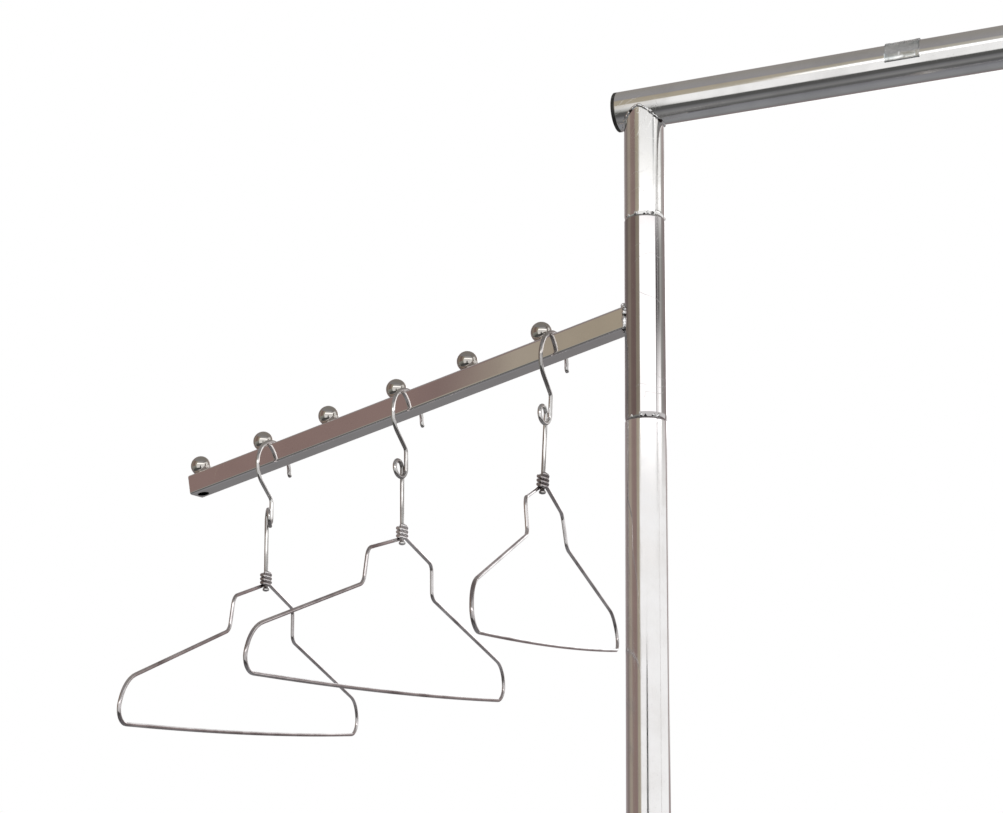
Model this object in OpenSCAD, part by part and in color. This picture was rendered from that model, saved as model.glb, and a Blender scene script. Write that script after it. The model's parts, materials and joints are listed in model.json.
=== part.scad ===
// Chrome clothes stand: a round rail on two plug-together uprights, with a sloping side arm
// that turns on the left upright and carries three wire hangers between its stop balls.
// Frame: origin on the floor under the middle of the whole object, +Z up, +X along the rail,
// and the side arm reaching out towards -X. All sizes are in millimetres.

/* [Tubes] */
// Outer diameter of the rail, the uprights and the feet
tube_d = 32; // [25:0.5:40]
// Wall thickness of every tube
wall = 1.5; // [1:0.1:2]
// Radial play of a plug in the tube that turns or lifts off it
running_play = 0.05; // [0.02:0.01:0.1]
// Gap where a turning part meets a fixed one
turning_gap = 0.3; // [0.2:0.05:0.5]

/* [Stand] */
// Height of the rail's axis above the floor
rail_height = 1750; // [1400:10:1900]
// Distance between the axes of the two uprights
post_spacing = 1150; // [800:10:1500]
// How far each end of the rail passes the axis of its upright
rail_overhang = 23; // [20:0.5:60]
// Length of the welded stub below the rail's axis
stub_drop = 96.5; // [60:0.5:150]
// Length of the piece between the stub and the long post
sleeve_len = 162; // [120:1:220]
// Depth that each plug reaches into the tube below it
plug_depth = 70; // [40:1:90]

/* [Base] */
// Length of each foot from cap to cap
foot_len = 560; // [520:10:700]
// Height of the glides under the feet
glide_h = 12; // [8:1:20]
// Height of the base stub's top above the floor
base_stub_top = 120; // [90:5:180]
// Diameter of the bottom rail between the feet
bottom_rail_d = 25; // [20:0.5:28]

/* [Side arm] */
// Side of the arm's square tube
arm_w = 18; // [15:0.5:20]
// Distance from the upright's axis to the arm's closed end, along the arm
arm_reach = 448; // [440:1:470]
// Fall of the arm below the horizontal, in degrees
arm_slope = 13; // [8:0.5:18]
// Turn of the arm out of the rail's line, in degrees
arm_turn = 5; // [0:1:30]
// Drop of the arm's centre line below the rail's axis, at the upright's axis
arm_drop = 172; // [165:1:180]
// Number of stop balls along the arm
ball_count = 6; // [6]
// Diameter of a stop ball
ball_d = 17.5; // [12:0.5:18]
// Distance between neighbouring stop balls
ball_pitch = 70; // [60:1:70]
// Distance from the upright's axis to the nearest stop ball
ball_first = 89; // [85:1:95]

/* [Hangers] */
// Diameter of the hook's wire
hook_wire_d = 3.5; // [3:0.1:4]
// Diameter of the frame's wire
frame_wire_d = 3; // [2.5:0.1:3.5]
// Radius of the hook, to the middle of its wire
hook_r = 22.5; // [21:0.5:25]
// Distance from the hook's centre down to the frame's peak
hook_drop = 103; // [95:1:115]
// Radius of the small loop in the hook's stem
loop_r = 7; // [6:0.5:8]
// Half of the frame's width across the shoulders
frame_half = 220; // [190:1:225]
// Drop of the bottom bar's ends below the frame's peak
frame_drop = 119.5; // [110:0.5:125]
// Sag of the bottom bar at its middle
bar_sag = 3; // [0:0.5:6]

/* [Hidden] */
$fn = 64;

chrome = "#c9c7c8";
dark_chrome = "#8a7f7c";
black = "#26241f";
clear = [0.85, 0.9, 0.92, 0.5];

tube_r = tube_d / 2;
bore_r = tube_r - wall;

// Levels along an upright
foot_z = glide_h + tube_r;
rail_z = rail_height;
stub_z = rail_z - stub_drop;
sleeve_z = stub_z - sleeve_len;

// The farthest points of the arm: its closed end, and the last stop ball
arm_z = rail_z - arm_drop;
ball_seat = 8;
ball_last = ball_first + (ball_count - 1) * ball_pitch;
end_reach = (arm_reach * cos(arm_slope) + arm_w / 2 * sin(arm_slope)) * cos(arm_turn)
          + arm_w / 2 * sin(arm_turn);
ball_reach = (ball_last * cos(arm_slope) + (arm_w / 2 + ball_seat) * sin(arm_slope)) * cos(arm_turn)
           + ball_d / 2;
left_reach = max(end_reach, ball_reach);
right_reach = post_spacing + rail_overhang;
left_x = (left_reach - right_reach) / 2;
right_x = left_x + post_spacing;

// The rail's end caps and its clip
cap_flange = 3;
cap_plug = 14;
cap_wall = 2;
clip_from = 193.5;
clip_len = 25.5;
clip_wall = 1.2;
clip_wrap = 206;

// Tube ends: the swaged end of an upper tube, and the plug welded into it
swage_len = 4.5;
swage_steps = 5;
plug_grip = 30;
plug_lead = 2;

// The arm's square tube
arm_corner_r = 2;
corner_steps = 3;
vent_r = 5;
vent_back = 8;

// The bottom rail's fixings
bolt_r = 4;
bolt_play = 0.25;
bolt_head_r = 7;
bolt_head_h = 4.5;
rail_plug_len = 30;
glide_r = 13;
glide_inset = 24;

// Each hanger hangs just uphill of every second ball, counted here from the upright
hanger_balls = [5, 3, 1];
ball_gap = [8.9, 8.2, 7.7];
rest_gap = 0.3;
// Lean of the stem, lean of the frame, tilt of the frame, turn of the frame, turn of the loop
stem_lean = [2.8, 2.1, -2.2];
frame_lean = [-4.9, -4.4, 7.7];
frame_tilt = [2.2, 1.4, 3.4];
frame_turn = [11.7, 5.4, 12.4];
loop_turn = [37.5, 0, 0];

wire_sides = 8;
hook_wire_r = hook_wire_d / 2;
frame_wire_r = frame_wire_d / 2;
stem_aside = 2.3;
bend_drop = 28.8;
loop_drop = 45.9;
loop_step = hook_wire_d + 0.3;
hook_sink = sqrt(pow(hook_r - hook_wire_r - arm_corner_r - rest_gap, 2) - pow(arm_w / 2 - arm_corner_r, 2))
          + arm_corner_r;
hook_leave = atan2(-bend_drop, stem_aside) + acos(hook_r / norm([stem_aside, bend_drop]));
flare_r = 4;
flare_turn = 65;
stem_top = loop_drop + loop_r + 2;
hook_lap = 0.5;
bend_r = 6;
bend_steps = 4;
loop_steps = 24;
bar_steps = 4;
coil_play = 0.35;
coil_steps = 21;
neck_top = [56.3, -14.5];
neck_r = 9;
shoulder_r = 26;
bar_r = 12;
bar_straight = 45;
coil_end_gap = 0.4;
coil_r = hook_wire_r + coil_play + frame_wire_r;
coil_turns = 1.75;
coil_pitch = 2 * (frame_wire_d + 0.2);
head_r = 2.8;
head_h = 3;

// ---------- helpers ----------

// A tube along +Z with square ends
module tube(r, bore, length) {
    difference() {
        cylinder(r = r, h = length);
        translate([0, 0, -1])
            cylinder(r = bore, h = length + 2);
    }
}

// An upright tube from z_low to z_high whose lower end is swaged in around its plug
module upright(z_low, z_high) {
    swage = [for (i = [0:swage_steps])
        let (a = 90 * i / swage_steps)
        [bore_r + 0.1 + (wall - 0.1) * sin(a), z_low + swage_len * (1 - cos(a))]];
    rotate_extrude()
        polygon(concat([[bore_r, z_low]], swage, [[tube_r, z_high], [bore_r, z_high]]));
}

// A plug welded into the tube above the level z, reaching down into the tube below it
module spigot(z) {
    outer = bore_r - running_play;
    inner = outer - wall;
    rotate_extrude()
        polygon([
            [inner, z - plug_depth],
            [outer - 1, z - plug_depth],
            [outer, z - plug_depth + plug_lead],
            [outer, z],
            [bore_r, z],
            [bore_r, z + plug_grip],
            [inner, z + plug_grip]
        ]);
}

// A push-in plastic cap for a tube end: the flange starts at z = 0 and the plug points down
module end_cap() {
    rotate_extrude()
        polygon([
            [0, cap_flange],
            [tube_r - 0.5, cap_flange],
            [tube_r - 0.15, cap_flange - 0.15],
            [tube_r, cap_flange - 0.5],
            [tube_r, 0],
            [bore_r, 0],
            [bore_r, -cap_plug + 1],
            [bore_r - 1, -cap_plug],
            [bore_r - cap_wall, -cap_plug],
            [bore_r - cap_wall, -1],
            [0, -1]
        ]);
}

// Unit vector along v
function unit(v) = v / norm(v);

// Points of an arc in a plane: centre c, radius r, from angle a to angle b
function arc(c, r, a, b, steps) =
    [for (i = [0:steps]) let (t = a + (b - a) * i / steps) c + r * [cos(t), sin(t)]];

// The rounded corner q of radius r between the points p and s of a flat path
function corner(p, q, s, r, steps) =
    let (
        u = unit(p - q),
        v = unit(s - q),
        half = acos(u * v) / 2,
        start = q + u * r / tan(half),
        end = q + v * r / tan(half),
        centre = q + unit(u + v) * r / sin(half),
        a = atan2(start[1] - centre[1], start[0] - centre[0]),
        b = atan2(end[1] - centre[1], end[0] - centre[0]),
        turn = b - a > 180 ? b - a - 360 : b - a < -180 ? b - a + 360 : b - a
    )
    arc(centre, r, a, a + turn, steps);

// A normal of the wire at each point of its path, carried along without twist
function carried(n, t) = unit(n - (n * t) * t);
function tangent(path, i) =
    unit(path[min(i + 1, len(path) - 1)] - path[max(i - 1, 0)]);
function normals(path) =
    [for (i = 0, n = carried([0.31, 0.17, 0.93], tangent(path, 0));
          i < len(path);
          i = i + 1, n = i < len(path) ? carried(n, tangent(path, i)) : n) n];

// A closed wire of the given ring radii along a path
module wire(path, radii) {
    count = len(path);
    side = normals(path);
    rings = [for (i = [0:count - 1])
        let (t = tangent(path, i), n = side[i], b = cross(t, n))
        for (k = [0:wire_sides - 1])
            let (a = 360 * k / wire_sides)
            path[i] + radii[i] * (cos(a) * n + sin(a) * b)];
    skin = [for (i = [0:count - 2], k = [0:wire_sides - 1])
        let (here = i * wire_sides, there = here + wire_sides, next = (k + 1) % wire_sides)
        [here + k, there + k, there + next, here + next]];
    first = [for (k = [0:wire_sides - 1]) k];
    last = [for (k = [wire_sides - 1:-1:0]) (count - 1) * wire_sides + k];
    polyhedron(points = rings, faces = concat(skin, [first], [last]), convexity = 10);
}

// ---------- rail ----------

module rail_tube() {
    color(chrome)
        translate([left_x - rail_overhang + cap_flange, 0, rail_z])
            rotate([0, 90, 0])
                tube(tube_r, bore_r, post_spacing + 2 * (rail_overhang - cap_flange));
}

module rail_clip() {
    open_half = (360 - clip_wrap) / 2;
    color(clear)
        translate([left_x + clip_from, 0, rail_z])
            rotate([90, 0, 90])
                rotate([0, 0, -90 + open_half])
                    rotate_extrude(angle = clip_wrap)
                        translate([tube_r, 0])
                            square([clip_wall, clip_len]);
}

module rail_end_cap_left() {
    color(black)
        translate([left_x - rail_overhang + cap_flange, 0, rail_z])
            rotate([0, -90, 0])
                end_cap();
}

module rail_end_cap_right() {
    color(black)
        translate([right_x + rail_overhang - cap_flange, 0, rail_z])
            rotate([0, 90, 0])
                end_cap();
}

// The welded stub under the rail, with its lower end swaged in around its plug
module rail_stub(x) {
    color(chrome)
        translate([x, 0, 0])
            difference() {
                upright(stub_z, rail_z);
                translate([0, 0, rail_z])
                    rotate([0, 90, 0])
                        cylinder(r = tube_r, h = 3 * tube_r, center = true);
            }
}

module rail_stub_left() {
    rail_stub(left_x);
}

module rail_stub_right() {
    rail_stub(right_x);
}

module rail_spigot_left() {
    color(dark_chrome)
        translate([left_x, 0, 0])
            spigot(stub_z);
}

module rail_spigot_right() {
    color(dark_chrome)
        translate([right_x, 0, 0])
            spigot(stub_z);
}

// ---------- side arm ----------

// Places its children with +X down along the arm and the origin on the upright's axis
module on_arm() {
    translate([left_x, 0, arm_z])
        rotate([0, arm_slope, 180 - arm_turn])
            children();
}

module arm_sleeve() {
    color(chrome)
        translate([left_x, 0, 0])
            upright(sleeve_z, stub_z - turning_gap);
}

module arm_spigot() {
    color(dark_chrome)
        translate([left_x, 0, 0])
            spigot(sleeve_z);
}

// A square with rounded corners
module rounded_square(side, r) {
    inset = side / 2 - r;
    polygon([for (k = [0:3], i = [0:corner_steps])
        let (a = 90 * k + 90 * i / corner_steps, quarter = 90 * k + 45)
        inset * sqrt(2) * [cos(quarter), sin(quarter)] + r * [cos(a), sin(a)]]);
}

// The arm's square tube, coped to the sleeve, with a vent hole under its closed end
module arm_bar() {
    color(dark_chrome)
        difference() {
            on_arm()
                rotate([90, 0, 90])
                    linear_extrude(height = arm_reach)
                        difference() {
                            rounded_square(arm_w, arm_corner_r);
                            square(arm_w - 2 * wall, center = true);
                        }
            translate([left_x, 0, arm_z - 2 * tube_d])
                cylinder(r = tube_r, h = 4 * tube_d);
            on_arm()
                translate([arm_reach - vent_back, 0, -arm_w])
                    cylinder(r = vent_r, h = arm_w);
        }
}

// The plate welded into the open end of the arm's tube
module arm_end_plate() {
    side = arm_w - 2 * wall;
    color(dark_chrome)
        on_arm()
            translate([arm_reach - wall, -side / 2, -side / 2])
                cube([wall, side, side]);
}

// A stop ball, welded to the arm on a small flat; the first is nearest the closed end
module stop_ball(k) {
    color(chrome)
        on_arm()
            translate([ball_last - (k - 1) * ball_pitch, 0, arm_w / 2])
                intersection() {
                    translate([0, 0, ball_seat])
                        sphere(d = ball_d);
                    translate([-ball_d, -ball_d, 0])
                        cube(2 * ball_d);
                }
}

module stop_ball_1() { stop_ball(1); }
module stop_ball_2() { stop_ball(2); }
module stop_ball_3() { stop_ball(3); }
module stop_ball_4() { stop_ball(4); }
module stop_ball_5() { stop_ball(5); }
module stop_ball_6() { stop_ball(6); }

// ---------- uprights ----------

module spacer_right() {
    color(chrome)
        translate([right_x, 0, 0])
            upright(sleeve_z, stub_z);
}

module spacer_spigot_right() {
    color(dark_chrome)
        translate([right_x, 0, 0])
            spigot(sleeve_z);
}

module post_left() {
    color(chrome)
        translate([left_x, 0, 0])
            upright(base_stub_top, sleeve_z - turning_gap);
}

module post_right() {
    color(chrome)
        translate([right_x, 0, 0])
            upright(base_stub_top, sleeve_z);
}

module post_spigot_left() {
    color(dark_chrome)
        translate([left_x, 0, 0])
            spigot(base_stub_top);
}

module post_spigot_right() {
    color(dark_chrome)
        translate([right_x, 0, 0])
            spigot(base_stub_top);
}

// ---------- base ----------

// The cross hole for the bottom rail's bolt
module bolt_hole() {
    translate([0, 0, foot_z])
        rotate([0, 90, 0])
            cylinder(r = bolt_r + bolt_play, h = 3 * tube_r, center = true);
}

// The short stub that stands on a foot and takes the post's plug
module base_stub(x) {
    color(chrome)
        translate([x, 0, 0])
            difference() {
                translate([0, 0, foot_z])
                    tube(tube_r, bore_r, base_stub_top - foot_z);
                translate([0, 0, foot_z])
                    rotate([90, 0, 0])
                        cylinder(r = tube_r, h = 3 * tube_r, center = true);
                bolt_hole();
            }
}

module base_stub_left() {
    base_stub(left_x);
}

module base_stub_right() {
    base_stub(right_x);
}

// A foot: a round tube along Y with cross holes for the bottom rail's bolt
module foot(x) {
    length = foot_len - 2 * cap_flange;
    color(chrome)
        translate([x, 0, foot_z])
            difference() {
                translate([0, length / 2, 0])
                    rotate([90, 0, 0])
                        tube(tube_r, bore_r, length);
                translate([0, 0, -foot_z])
                    bolt_hole();
            }
}

module foot_left() {
    foot(left_x);
}

module foot_right() {
    foot(right_x);
}

module foot_caps(x) {
    color(black)
        for (side = [-1, 1])
            translate([x, side * (foot_len / 2 - cap_flange), foot_z])
                rotate([-90 * side, 0, 0])
                    end_cap();
}

module foot_caps_left() {
    foot_caps(left_x);
}

module foot_caps_right() {
    foot_caps(right_x);
}

// Two plastic glides under a foot, each with a saddle that fits the round tube
module foot_glides(x) {
    color(black)
        for (side = [-1, 1])
            translate([x, side * (foot_len / 2 - glide_inset), 0])
                difference() {
                    rotate_extrude()
                        polygon([
                            [0, 0],
                            [glide_r - 1.5, 0],
                            [glide_r, 1.5],
                            [glide_r, glide_h + 3],
                            [0, glide_h + 3]
                        ]);
                    translate([0, 0, foot_z])
                        rotate([90, 0, 0])
                            cylinder(r = tube_r, h = 4 * glide_r, center = true);
                }
}

module foot_glides_left() {
    foot_glides(left_x);
}

module foot_glides_right() {
    foot_glides(right_x);
}

// The bottom rail, coped to both feet and to the stubs on them
module bottom_rail() {
    rail_r = bottom_rail_d / 2;
    color(chrome)
        difference() {
            translate([left_x, 0, foot_z])
                rotate([0, 90, 0])
                    tube(rail_r, rail_r - wall, post_spacing);
            for (x = [left_x, right_x])
                translate([x, 0, foot_z]) {
                    rotate([90, 0, 0])
                        cylinder(r = tube_r, h = 2 * tube_d, center = true);
                    cylinder(r = tube_r + 0.1, h = tube_d);
                }
        }
}

// The threaded plugs pressed into the bottom rail's ends
module bottom_rail_plugs() {
    plug_r = bottom_rail_d / 2 - wall;
    color(dark_chrome)
        for (side = [0, 1])
            translate([side == 0 ? left_x + tube_r + 2 : right_x - tube_r - 2 - rail_plug_len, 0, foot_z])
                rotate([0, 90, 0])
                    tube(plug_r, bolt_r, rail_plug_len);
}

// The bolts that pull the feet against the bottom rail
module bottom_rail_bolts() {
    length = 2 * tube_r + 2 + rail_plug_len - 6;
    color(dark_chrome)
        for (side = [-1, 1])
            translate([(side < 0 ? left_x : right_x) + side * tube_r, 0, foot_z])
                rotate([0, 90 * side, 0])
                    rotate_extrude()
                        polygon([
                            [0, -length],
                            [bolt_r, -length],
                            [bolt_r, 0],
                            [bolt_head_r, 0],
                            [bolt_head_r, bolt_head_h * 0.5],
                            [bolt_head_r * 0.7, bolt_head_h],
                            [0, bolt_head_h]
                        ]);
}

// ---------- hangers ----------

// The point on the arm's centre line at a distance s from the upright's axis
function on_centre(s) =
    [left_x, 0, arm_z] + s * [
        -cos(arm_slope) * cos(arm_turn),
        cos(arm_slope) * sin(arm_turn),
        -sin(arm_slope)
    ];

// The hook's centre: its wire rests over both upper edges of the arm, just uphill of a ball
function hook_centre(k) =
    on_centre(ball_first + (hanger_balls[k] - 1) * ball_pitch - ball_gap[k])
    + [0, 0, arm_w / 2 / cos(arm_slope) - hook_sink];

// Places its children at the hook's centre: +X outwards along the arm, +Y to the open side
// of the small loop, and -Z down the leaning stem
module on_hook(k) {
    translate(hook_centre(k))
        rotate([0, stem_lean[k], 180 - arm_turn])
            children();
}

// The stem stands beside the hook's own plane, by the step of the small loop
function stem_step(k) = loop_step * [cos(loop_turn[k]), sin(loop_turn[k]), 0];
function stem_at(k) = [0, stem_aside, 0] + stem_step(k);

// The flared tip at the hook's far end, starting just inside the round part
flare_path =
    let (flat = arc([-hook_r - flare_r, 0], flare_r, 0, -flare_turn, bend_steps))
    [for (p = concat([[-hook_r, hook_lap]], flat)) [0, p[0], p[1]]];

// The hook's wire below its round part: the slant, the bend, the small loop and the stem's top
function hook_path(k) =
    let (
        leave = hook_r * [cos(hook_leave), sin(hook_leave)],
        bend_at = [stem_aside, -bend_drop],
        start = leave - hook_lap * unit(bend_at - leave),
        flat = concat([start], corner(leave, bend_at, [stem_aside, -loop_drop], bend_r, bend_steps))
    )
    concat(
        [for (p = flat) [0, p[0], p[1]]],
        [for (i = [0:loop_steps])
            let (a = 360 * i / loop_steps, t = loop_turn[k], out = loop_r * (1 - cos(a)))
            out * [-sin(t), cos(t), 0] + stem_step(k) * i / loop_steps
            + [0, stem_aside, -loop_drop - loop_r * sin(a)]],
        [stem_at(k) - [0, 0, stem_top + 2]]
    );

// A hook: the round part over the arm with its flared tip, the bent wire, the straight stem
// and the rounded head that holds the frame's coil
module hook(k) {
    path = hook_path(k);
    stem_low = hook_drop + frame_wire_r + coil_end_gap;
    color(chrome)
        on_hook(k) {
            rotate([90, 0, 90])
                rotate([0, 0, hook_leave])
                    rotate_extrude(angle = 180 - hook_leave)
                        translate([hook_r, 0])
                            circle(r = hook_wire_r);
            wire(flare_path, [for (p = flare_path) hook_wire_r - 0.05]);
            wire(path, [for (p = path) hook_wire_r - 0.05]);
            translate(stem_at(k) - [0, 0, stem_low])
                cylinder(r = hook_wire_r, h = stem_low - stem_top);
            translate(stem_at(k) - [0, 0, stem_low])
                rotate_extrude()
                    polygon([
                        [0, -head_h],
                        [head_r * 0.55, -head_h],
                        [head_r, -head_h * 0.6],
                        [head_r, -head_h * 0.3],
                        [hook_wire_r, 0.4],
                        [0, 0.4]
                    ]);
        }
}

function turned_x(p, a) = [p[0], p[1] * cos(a) - p[2] * sin(a), p[1] * sin(a) + p[2] * cos(a)];
function turned_y(p, a) = [p[0] * cos(a) + p[2] * sin(a), p[1], p[2] * cos(a) - p[0] * sin(a)];

// One end of the frame's wire, wound down round the stem
function coil_end(side) =
    [for (i = [0:coil_steps])
        let (left = coil_turns * (1 - i / coil_steps), a = -360 * left)
        [side * coil_r * cos(a), side * coil_r * sin(a), coil_pitch * left]];

// The outline of half the frame: shoulder, neck, slope, rounded end and bowed bottom bar
half_outline =
    let (
        neck_foot = [59.9, -42.2],
        slope_end = [frame_half - 7.5, -88.7],
        bar_end = [frame_half + 2, -frame_drop],
        bar = [for (i = [bar_steps:-1:0])
            let (h = (frame_half - bar_straight) * i / bar_steps)
            [h, -frame_drop - bar_sag * (1 - pow(h / frame_half, 2))]]
    )
    concat(
        corner([0, 0], neck_top, neck_foot, neck_r, bend_steps),
        corner(neck_top, neck_foot, slope_end, neck_r, bend_steps),
        corner(neck_foot, slope_end, bar_end, shoulder_r, bend_steps),
        corner(slope_end, bar_end, bar[0], bar_r, bend_steps),
        bar
    );

// Half the frame in space, tilted and leaning from its peak
function half_frame(k, side) =
    [for (p = half_outline)
        let (off = p[1] < -frame_drop / 2 ? 0 : coil_r * max(0, 1 - p[0] / neck_top[0]))
        turned_y(turned_x([side * off, side * p[0], p[1]], -frame_tilt[k]), frame_lean[k])];

// A frame: one wire, both of whose ends are wound round the hook's stem
module hanger(k) {
    near = concat(coil_end(1), half_frame(k, 1));
    far = concat(coil_end(-1), half_frame(k, -1));
    path = concat(near, [for (i = [len(far) - 2:-1:0]) far[i]]);
    color(chrome)
        on_hook(k)
            translate(stem_at(k) - [0, 0, hook_drop])
                rotate([0, 0, frame_turn[k]])
                    wire(path, [for (p = path) frame_wire_r]);
}

module hook_1() { hook(0); }
module hook_2() { hook(1); }
module hook_3() { hook(2); }
module hanger_1() { hanger(0); }
module hanger_2() { hanger(1); }
module hanger_3() { hanger(2); }

// ---------- the parts ----------

rail_tube();
rail_clip();
rail_end_cap_left();
rail_end_cap_right();
rail_stub_left();
rail_stub_right();
rail_spigot_left();
rail_spigot_right();
arm_sleeve();
arm_spigot();
arm_bar();
arm_end_plate();
stop_ball_1();
stop_ball_2();
stop_ball_3();
stop_ball_4();
stop_ball_5();
stop_ball_6();
spacer_right();
spacer_spigot_right();
post_left();
post_right();
post_spigot_left();
post_spigot_right();
base_stub_left();
base_stub_right();
foot_left();
foot_right();
foot_caps_left();
foot_caps_right();
foot_glides_left();
foot_glides_right();
bottom_rail();
bottom_rail_plugs();
bottom_rail_bolts();
hook_1();
hook_2();
hook_3();
hanger_1();
hanger_2();
hanger_3();
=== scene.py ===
"""The looks of a chrome clothes stand with a turning side arm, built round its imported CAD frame.

Everything is in metres in the frame's own axes: +Z up, +X along the rail, and the origin on the
floor. Sizes that the frame doesn't give are named below in millimetres, times MM.
"""

import json
import math

import bmesh
import bpy
from mathutils import Matrix, Vector, noise


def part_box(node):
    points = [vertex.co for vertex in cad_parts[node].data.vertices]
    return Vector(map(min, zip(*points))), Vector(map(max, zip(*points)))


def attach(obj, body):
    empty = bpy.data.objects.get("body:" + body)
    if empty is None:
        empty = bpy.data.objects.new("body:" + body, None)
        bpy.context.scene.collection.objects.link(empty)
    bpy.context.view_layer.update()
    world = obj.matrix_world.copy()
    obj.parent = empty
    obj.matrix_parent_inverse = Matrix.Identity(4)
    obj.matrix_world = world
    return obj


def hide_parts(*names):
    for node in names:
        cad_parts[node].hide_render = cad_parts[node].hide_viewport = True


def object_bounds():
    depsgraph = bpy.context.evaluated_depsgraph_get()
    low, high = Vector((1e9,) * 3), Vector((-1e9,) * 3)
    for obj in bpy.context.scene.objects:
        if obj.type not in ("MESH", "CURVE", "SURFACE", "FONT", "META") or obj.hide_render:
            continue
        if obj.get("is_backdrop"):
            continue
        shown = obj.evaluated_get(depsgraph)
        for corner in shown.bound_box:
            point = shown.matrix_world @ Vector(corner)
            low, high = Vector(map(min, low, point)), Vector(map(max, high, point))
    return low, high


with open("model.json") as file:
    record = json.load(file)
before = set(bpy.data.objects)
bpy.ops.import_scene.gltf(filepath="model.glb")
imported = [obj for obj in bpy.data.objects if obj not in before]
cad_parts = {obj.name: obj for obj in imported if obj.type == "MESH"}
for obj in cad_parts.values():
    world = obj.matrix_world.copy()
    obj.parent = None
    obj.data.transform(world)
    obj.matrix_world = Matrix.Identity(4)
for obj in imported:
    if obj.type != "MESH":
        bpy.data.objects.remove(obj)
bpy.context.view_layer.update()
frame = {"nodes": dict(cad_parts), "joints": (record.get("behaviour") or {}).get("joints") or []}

MM = 0.001

# ---------- sizes and places ----------

joints = {j["name"]: j for j in frame["joints"]}


def middle(node):
    low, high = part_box(node)
    return (low + high) / 2


def span(node, axis):
    low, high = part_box(node)
    return low[axis], high[axis]


left_x = middle("post_left").x
right_x = middle("post_right").x
rail_z = middle("rail_tube").z
foot_z = middle("foot_left").z
tube_r = (span("post_left", 0)[1] - span("post_left", 0)[0]) / 2
wall = 1.5 * MM
bore_r = tube_r - wall
TUBE_EDGE = 0.35 * MM
SWAGE_LEN = 4.5 * MM
SWAGE_GAP = 0.1 * MM
CAP_FLANGE = 3 * MM
CAP_DISH = 0.5 * MM
CAP_PLUG = 14 * MM

ARM_WIDTH = 18 * MM
ARM_REACH = 448 * MM
ARM_SLOPE = math.radians(13)
ARM_TURN = math.radians(5)
ARM_DROP = 172 * MM
ARM_CORNER = 2 * MM
VENT_R = 5 * MM
VENT_BACK = 8 * MM
BALL_R = 8.75 * MM
BALL_SEAT = 8 * MM
BALL_FIRST = 89 * MM
BALL_PITCH = 70 * MM
BALL_COUNT = 6

HOOK_R = 22.5 * MM
HOOK_WIRE_R = 1.75 * MM
HOOK_BEND_R = 6 * MM
HOOK_BEND_DROP = 28.8 * MM
HOOK_FLARE_R = 4 * MM
HOOK_FLARE = math.radians(65)
STEM_ASIDE = 2.3 * MM
LOOP_R = 7 * MM
LOOP_DROP = 45.9 * MM
LOOP_STEP = 3.8 * MM
HOOK_DROP = 103 * MM
STEM_LOW = 104.9 * MM
HEAD_R = 2.8 * MM
HEAD_H = 3 * MM
FRAME_WIRE_R = 1.5 * MM
COIL_R = 3.6 * MM
COIL_TURNS = 1.75
COIL_PITCH = 6.4 * MM
FRAME_HALF = 220 * MM
NECK_TOP = (56.3 * MM, -14.5 * MM)
NECK_FOOT = (59.9 * MM, -42.2 * MM)
FRAME_DROP = 119.5 * MM
BAR_SAG = 3 * MM
# For each hanger: lean of the stem, lean, tilt and turn of the frame, turn of the small loop
STEM_LEAN = [math.radians(a) for a in (2.8, 2.1, -2.2)]
FRAME_LEAN = [math.radians(a) for a in (-4.9, -4.4, 7.7)]
FRAME_TILT = [math.radians(a) for a in (2.2, 1.4, 3.4)]
FRAME_TURN = [math.radians(a) for a in (11.7, 5.4, 12.4)]
LOOP_TURN = [math.radians(a) for a in (37.5, 0, 0)]

on_arm = (
    Matrix.Translation((left_x, 0, rail_z - ARM_DROP))
    @ Matrix.Rotation(math.pi - ARM_TURN, 4, "Z")
    @ Matrix.Rotation(ARM_SLOPE, 4, "Y")
)

# ---------- mesh helpers ----------

SHARP_ANGLE = math.radians(38)
MERGE = 1e-7


def mesh_object(name, points, faces):
    """An object of these faces, with doubled points merged and all faces turned outwards."""
    mesh = bpy.data.meshes.new(name)
    mesh.from_pydata([tuple(p) for p in points], [], faces)
    work = bmesh.new()
    work.from_mesh(mesh)
    bmesh.ops.remove_doubles(work, verts=work.verts, dist=MERGE)
    bmesh.ops.recalc_face_normals(work, faces=work.faces)
    work.to_mesh(mesh)
    work.free()
    made = bpy.data.objects.new(name, mesh)
    bpy.context.scene.collection.objects.link(made)
    return made


def build(name, points, faces, material, body, replaced=(), slot=None):
    """Makes one piece from points and faces, gives it its finish and lets it ride on its body."""
    piece = mesh_object(name, points, faces)
    mesh = piece.data
    mesh.polygons.foreach_set("use_smooth", [True] * len(mesh.polygons))
    mesh.set_sharp_from_angle(angle=SHARP_ANGLE)
    mesh.materials.append(material)
    if body:
        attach(piece, body)
    if replaced:
        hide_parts(*replaced)
    return piece


def grid(rows, closed_rows):
    """Points and faces of a grid of rings. Closed rows join the last ring to the first."""
    count, width = len(rows), len(rows[0])
    points = [p for row in rows for p in row]
    faces = []
    for i in range(count if closed_rows else count - 1):
        here, there = i * width, ((i + 1) % count) * width
        for k in range(width):
            following = (k + 1) % width
            faces.append((here + k, here + following, there + following, there + k))
    return points, faces


def joined(parts):
    """Several (points, faces) pairs as one."""
    points, faces = [], []
    for some_points, some_faces in parts:
        start = len(points)
        points += list(some_points)
        faces += [tuple(start + i for i in face) for face in some_faces]
    return points, faces


def moved(part, matrix):
    points, faces = part
    return [matrix @ Vector(p) for p in points], faces


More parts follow.
